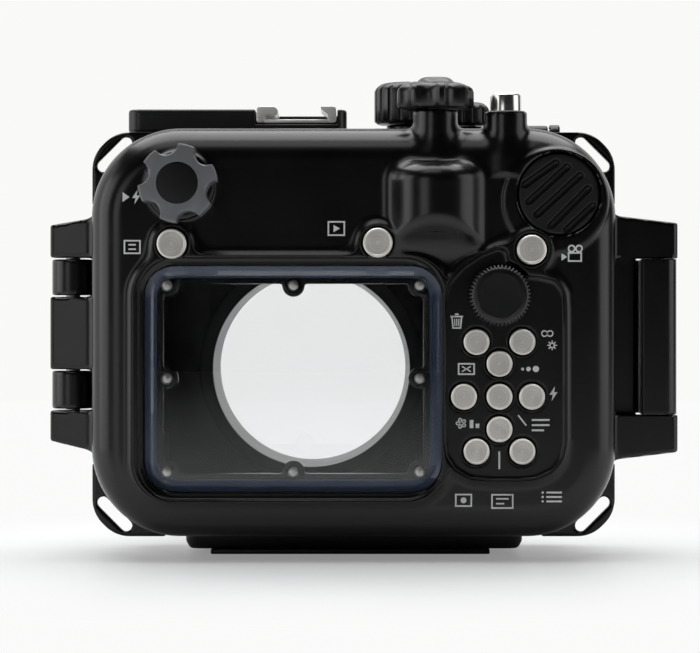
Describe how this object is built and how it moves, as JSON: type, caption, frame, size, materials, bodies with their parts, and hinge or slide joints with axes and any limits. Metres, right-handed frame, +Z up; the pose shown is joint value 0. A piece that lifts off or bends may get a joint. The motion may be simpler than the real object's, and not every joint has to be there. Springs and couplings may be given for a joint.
{
  "type": "underwater camera housing",
  "caption": "Hinged, latched waterproof case for a compact camera, with a rear window, lens port, push buttons, control knobs, shutter lever, cold shoe and lug slots.",
  "frame": {"origin": "on the standing surface, under the middle of the case's width, in the plane where the two shells meet", "axes": "+X to the operator's right, towards the latch; +Y forward along the lens axis; +Z up"},
  "size_m": [0.1758, 0.112, 0.1338],
  "materials": {
    "shell_black": "satin moulded polycarbonate",
    "knob_black": "satin moulded plastic",
    "rubber_black": "matt rubber",
    "seal_grey": "smooth silicone",
    "brushed_steel": "turned stainless steel",
    "anodised_black": "satin black anodised",
    "brass_yellow": "machined",
    "clear_pane": "polished clear"
  },
  "bodies": {
    "front_case": {"front_shell": "shell_black", "main_seal": "seal_grey", "port_barrel": "anodised_black", "port_seal": "rubber_black", "port_glass": "clear_pane", "port_retaining_ring": "anodised_black", "cold_shoe_block": "anodised_black", "cold_shoe_rail": "brushed_steel", "base_plate": "anodised_black", "rear_foot": "rubber_black", "front_foot": "rubber_black", "tripod_bush": "brass_yellow", "hinge_pin": "brushed_steel", "camera_cradle": "knob_black", "lever_pin": "brushed_steel"},
    "rear_case": {"rear_shell": "shell_black", "rear_window": "clear_pane", "window_gasket": "seal_grey", "window_screw_1": "brushed_steel", "window_screw_2": "brushed_steel", "window_screw_3": "brushed_steel", "window_screw_4": "brushed_steel", "window_screw_5": "brushed_steel", "window_screw_6": "brushed_steel", "window_screw_7": "brushed_steel", "window_screw_8": "brushed_steel", "thumb_rest": "rubber_black", "power_spring": "brushed_steel", "latch_pin": "brushed_steel"},
    "control_dial": {"control_dial": "knob_black", "dial_shaft": "brushed_steel"},
    "flash_knob": {"flash_knob": "anodised_black", "flash_knob_cap": "knob_black", "flash_arm": "brushed_steel"},
    "ev_knob": {"ev_knob": "knob_black", "ev_shaft": "brushed_steel"},
    "power_button": {"power_button": "brushed_steel"},
    "mode_knob": {"mode_knob": "knob_black", "mode_shaft": "brushed_steel"},
    "zoom_knob": {"zoom_knob": "knob_black", "zoom_shaft": "brushed_steel"},
    "shutter_lever": {"shutter_lever": "anodised_black"},
    "shutter_plunger": {"shutter_plunger": "brushed_steel"},
    "latch_lever": {"latch_lever": "shell_black"},
    "lock_slider": {"lock_slider": "anodised_black"},
    "function_button": {"function_button": "brushed_steel"},
    "playback_button": {"playback_button": "brushed_steel"},
    "movie_button": {"movie_button": "brushed_steel"},
    "delete_button": {"delete_button": "brushed_steel"},
    "link_button": {"link_button": "brushed_steel"},
    "up_button": {"up_button": "brushed_steel"},
    "left_button": {"left_button": "brushed_steel"},
    "set_button": {"set_button": "brushed_steel"},
    "right_button": {"right_button": "brushed_steel"},
    "down_button": {"down_button": "brushed_steel"},
    "display_button": {"display_button": "brushed_steel"},
    "menu_button": {"menu_button": "brushed_steel"}
  },
  "joints": [
    {"name": "rear_case_hinge", "type": "hinge", "parent": "front_case", "child": "rear_case", "pos_m": [-0.079, 0, 0.062], "axis": [0, 0, -1], "range_deg": [0, 110]},
    {"name": "latch_lever_hinge", "type": "hinge", "parent": "rear_case", "child": "latch_lever", "pos_m": [0.0852, -0.0042, 0.061], "axis": [0, 0, -1], "range_deg": [0, 30]},
    {"name": "lock_slide", "type": "slide", "parent": "latch_lever", "child": "lock_slider", "axis": [0, 0, 1], "range_m": [0, 0.004]},
    {"name": "function_button_push", "type": "slide", "parent": "rear_case", "child": "function_button", "axis": [0, 1, 0], "range_m": [0, 0.0012], "stiffness_N_per_m": 300, "springref_m": -0.001},
    {"name": "playback_button_push", "type": "slide", "parent": "rear_case", "child": "playback_button", "axis": [0, 1, 0], "range_m": [0, 0.0012], "stiffness_N_per_m": 300, "springref_m": -0.001},
    {"name": "movie_button_push", "type": "slide", "parent": "rear_case", "child": "movie_button", "axis": [0, 1, 0], "range_m": [0, 0.0012], "stiffness_N_per_m": 300, "springref_m": -0.001},
    {"name": "delete_button_push", "type": "slide", "parent": "rear_case", "child": "delete_button", "axis": [0, 1, 0], "range_m": [0, 0.0012], "stiffness_N_per_m": 300, "springref_m": -0.001},
    {"name": "link_button_push", "type": "slide", "parent": "rear_case", "child": "link_button", "axis": [0, 1, 0], "range_m": [0, 0.0012], "stiffness_N_per_m": 300, "springref_m": -0.001},
    {"name": "up_button_push", "type": "slide", "parent": "rear_case", "child": "up_button", "axis": [0, 1, 0], "range_m": [0, 0.0012], "stiffness_N_per_m": 300, "springref_m": -0.001},
    {"name": "left_button_push", "type": "slide", "parent": "rear_case", "child": "left_button", "axis": [0, 1, 0], "range_m": [0, 0.0012], "stiffness_N_per_m": 300, "springref_m": -0.001},
    {"name": "set_button_push", "type": "slide", "parent": "rear_case", "child": "set_button", "axis": [0, 1, 0], "range_m": [0, 0.0012], "stiffness_N_per_m": 300, "springref_m": -0.001},
    {"name": "right_button_push", "type": "slide", "parent": "rear_case", "child": "right_button", "axis": [0, 1, 0], "range_m": [0, 0.0012], "stiffness_N_per_m": 300, "springref_m": -0.001},
    {"name": "down_button_push", "type": "slide", "parent": "rear_case", "child": "down_button", "axis": [0, 1, 0], "range_m": [0, 0.0012], "stiffness_N_per_m": 300, "springref_m": -0.001},
    {"name": "display_button_push", "type": "slide", "parent": "rear_case", "child": "display_button", "axis": [0, 1, 0], "range_m": [0, 0.0012], "stiffness_N_per_m": 300, "springref_m": -0.001},
    {"name": "menu_button_push", "type": "slide", "parent": "rear_case", "child": "menu_button", "axis": [0, 1, 0], "range_m": [0, 0.0012], "stiffness_N_per_m": 300, "springref_m": -0.001},
    {"name": "power_button_push", "type": "slide", "parent": "rear_case", "child": "power_button", "axis": [0, 0, -1], "range_m": [0, 0.0015], "stiffness_N_per_m": 300, "springref_m": -0.001, "deforming": ["power_spring"]},
    {"name": "control_dial_turn", "type": "hinge", "parent": "rear_case", "child": "control_dial", "pos_m": [0.0393, -0.033, 0.0723], "axis": [0, 1, 0], "continuous": true},
    {"name": "flash_knob_turn", "type": "hinge", "parent": "rear_case", "child": "flash_knob", "pos_m": [-0.047, -0.037, 0.1022], "axis": [0, 1, 0], "range_deg": [-15, 45]},
    {"name": "ev_knob_turn", "type": "hinge", "parent": "rear_case", "child": "ev_knob", "pos_m": [0.0223, -0.024, 0.127], "axis": [0, 0, 1], "continuous": true},
    {"name": "mode_knob_turn", "type": "hinge", "parent": "front_case", "child": "mode_knob", "pos_m": [0.0165, 0.015, 0.128], "axis": [0, 0, 1], "continuous": true},
    {"name": "zoom_knob_turn", "type": "hinge", "parent": "front_case", "child": "zoom_knob", "pos_m": [0.0332, 0.02, 0.125], "axis": [0, 0, 1], "range_deg": [-30, 30], "stiffness_Nm_per_rad": 0.02},
    {"name": "shutter_lever_press", "type": "hinge", "parent": "front_case", "child": "shutter_lever", "pos_m": [0.05, 0.012, 0.1194], "axis": [-1, 0, 0], "range_deg": [0, 5], "stiffness_Nm_per_rad": 0.08, "springref_deg": -14.32},
    {"name": "shutter_plunger_slide", "type": "slide", "parent": "front_case", "child": "shutter_plunger", "axis": [0, 0, -1], "range_m": [0, 0.001]}
  ],
  "couplings": [
    {"joint": "shutter_plunger_slide", "follows": "shutter_lever_press", "m_per_rad": 0.011}
  ]
}
